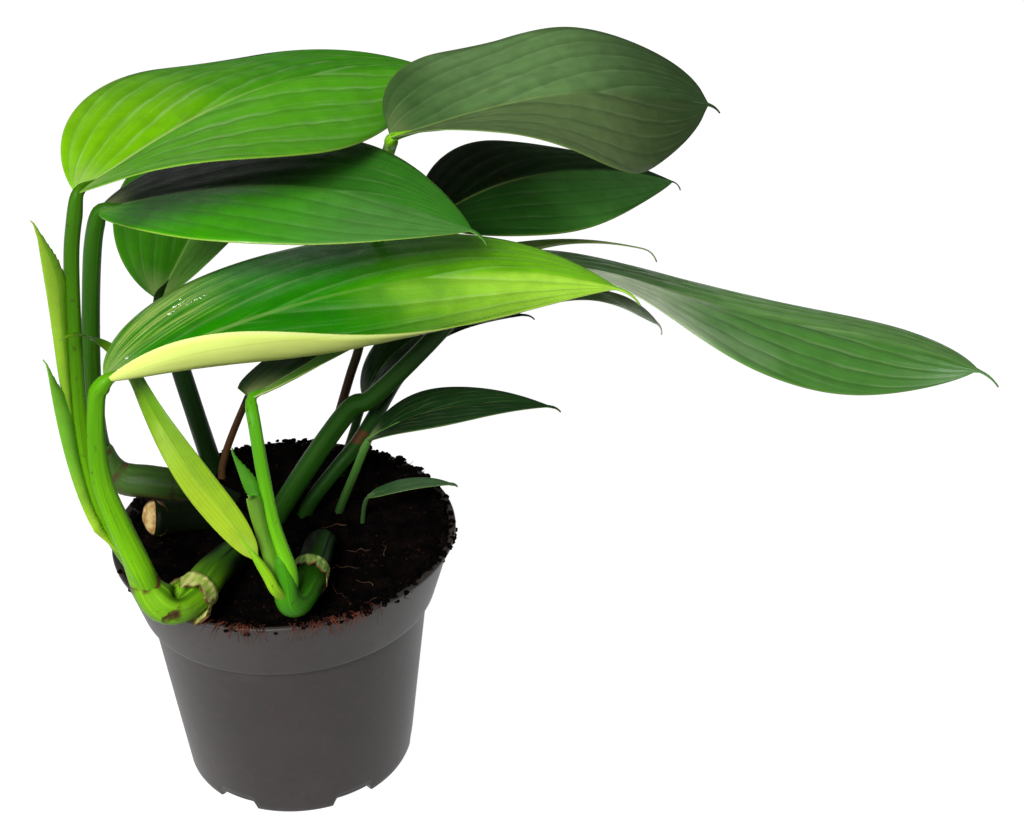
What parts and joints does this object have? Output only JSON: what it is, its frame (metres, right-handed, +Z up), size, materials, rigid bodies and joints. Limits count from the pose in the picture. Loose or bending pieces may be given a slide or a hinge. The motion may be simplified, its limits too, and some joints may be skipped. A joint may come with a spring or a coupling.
{
  "type": "potted dragon tail plant",
  "caption": "Leafy climbing-aroid plant in a round tapered nursery pot: lance-shaped blades on bent stalks, thick rooted stems and dark soil.",
  "frame": {"origin": "middle of the flat disc under the pot, on the ground", "axes": "+Z is up, out of the pot; +X is the side that the leaves lean to; -Y is the side where two stems cross the rim"},
  "size_m": [0.3126, 0.2361, 0.2571],
  "materials": {
    "blade_back_left": "waxy leaf",
    "blade_front": "waxy leaf",
    "blade_long_right": "waxy leaf",
    "blade_low_right": "waxy leaf",
    "blade_middle_left": "waxy leaf",
    "blade_middle_right": "waxy leaf",
    "blade_shaded_right": "waxy leaf",
    "blade_slender_centre": "waxy leaf",
    "blade_small_right": "waxy leaf",
    "blade_tiny_right": "waxy leaf",
    "blade_top_left": "waxy leaf",
    "blade_top_right": "waxy leaf",
    "blade_young": "waxy leaf",
    "pot_plastic": "satin moulded plastic",
    "soil": "damp crumbly potting mix",
    "sheath_centre": "thin dry-edged sheath",
    "sheath_centre_inner": "thin dry-edged sheath",
    "sheath_lower_left": "thin dry-edged sheath",
    "sheath_upper_left": "thin dry-edged sheath",
    "stalk_back_left": "smooth green stalk",
    "stalk_front": "smooth green stalk",
    "stalk_long_right": "smooth green stalk",
    "stalk_low_right": "smooth green stalk",
    "stalk_middle_left": "smooth green stalk",
    "stalk_middle_right": "smooth green stalk",
    "stalk_shaded_right": "smooth green stalk",
    "stalk_slender_centre": "smooth green stalk",
    "stalk_small_right": "smooth green stalk",
    "stalk_tiny_right": "smooth green stalk",
    "stalk_top_left": "smooth green stalk",
    "stalk_top_right": "smooth green stalk",
    "stalk_young": "smooth green stalk",
    "stem_back_left": "green stem with brown scars",
    "stem_cut_stub": "green stem with brown scars",
    "stem_front_left": "green stem with brown scars",
    "stem_front_right": "green stem with brown scars"
  },
  "bodies": {
    "root": {"blade_back_left": "blade_back_left", "blade_front": "blade_front", "blade_long_right": "blade_long_right", "blade_low_right": "blade_low_right", "blade_middle_left": "blade_middle_left", "blade_middle_right": "blade_middle_right", "blade_shaded_right": "blade_shaded_right", "blade_slender_centre": "blade_slender_centre", "blade_small_right": "blade_small_right", "blade_tiny_right": "blade_tiny_right", "blade_top_left": "blade_top_left", "blade_top_right": "blade_top_right", "blade_young": "blade_young", "nursery_pot": "pot_plastic", "potting_soil": "soil", "sheath_centre": "sheath_centre", "sheath_centre_inner": "sheath_centre_inner", "sheath_lower_left": "sheath_lower_left", "sheath_upper_left": "sheath_upper_left", "stalk_back_left": "stalk_back_left", "stalk_front": "stalk_front", "stalk_long_right": "stalk_long_right", "stalk_low_right": "stalk_low_right", "stalk_middle_left": "stalk_middle_left", "stalk_middle_right": "stalk_middle_right", "stalk_shaded_right": "stalk_shaded_right", "stalk_slender_centre": "stalk_slender_centre", "stalk_small_right": "stalk_small_right", "stalk_tiny_right": "stalk_tiny_right", "stalk_top_left": "stalk_top_left", "stalk_top_right": "stalk_top_right", "stalk_young": "stalk_young", "stem_back_left": "stem_back_left", "stem_cut_stub": "stem_cut_stub", "stem_front_left": "stem_front_left", "stem_front_right": "stem_front_right"}
  },
  "joints": []
}
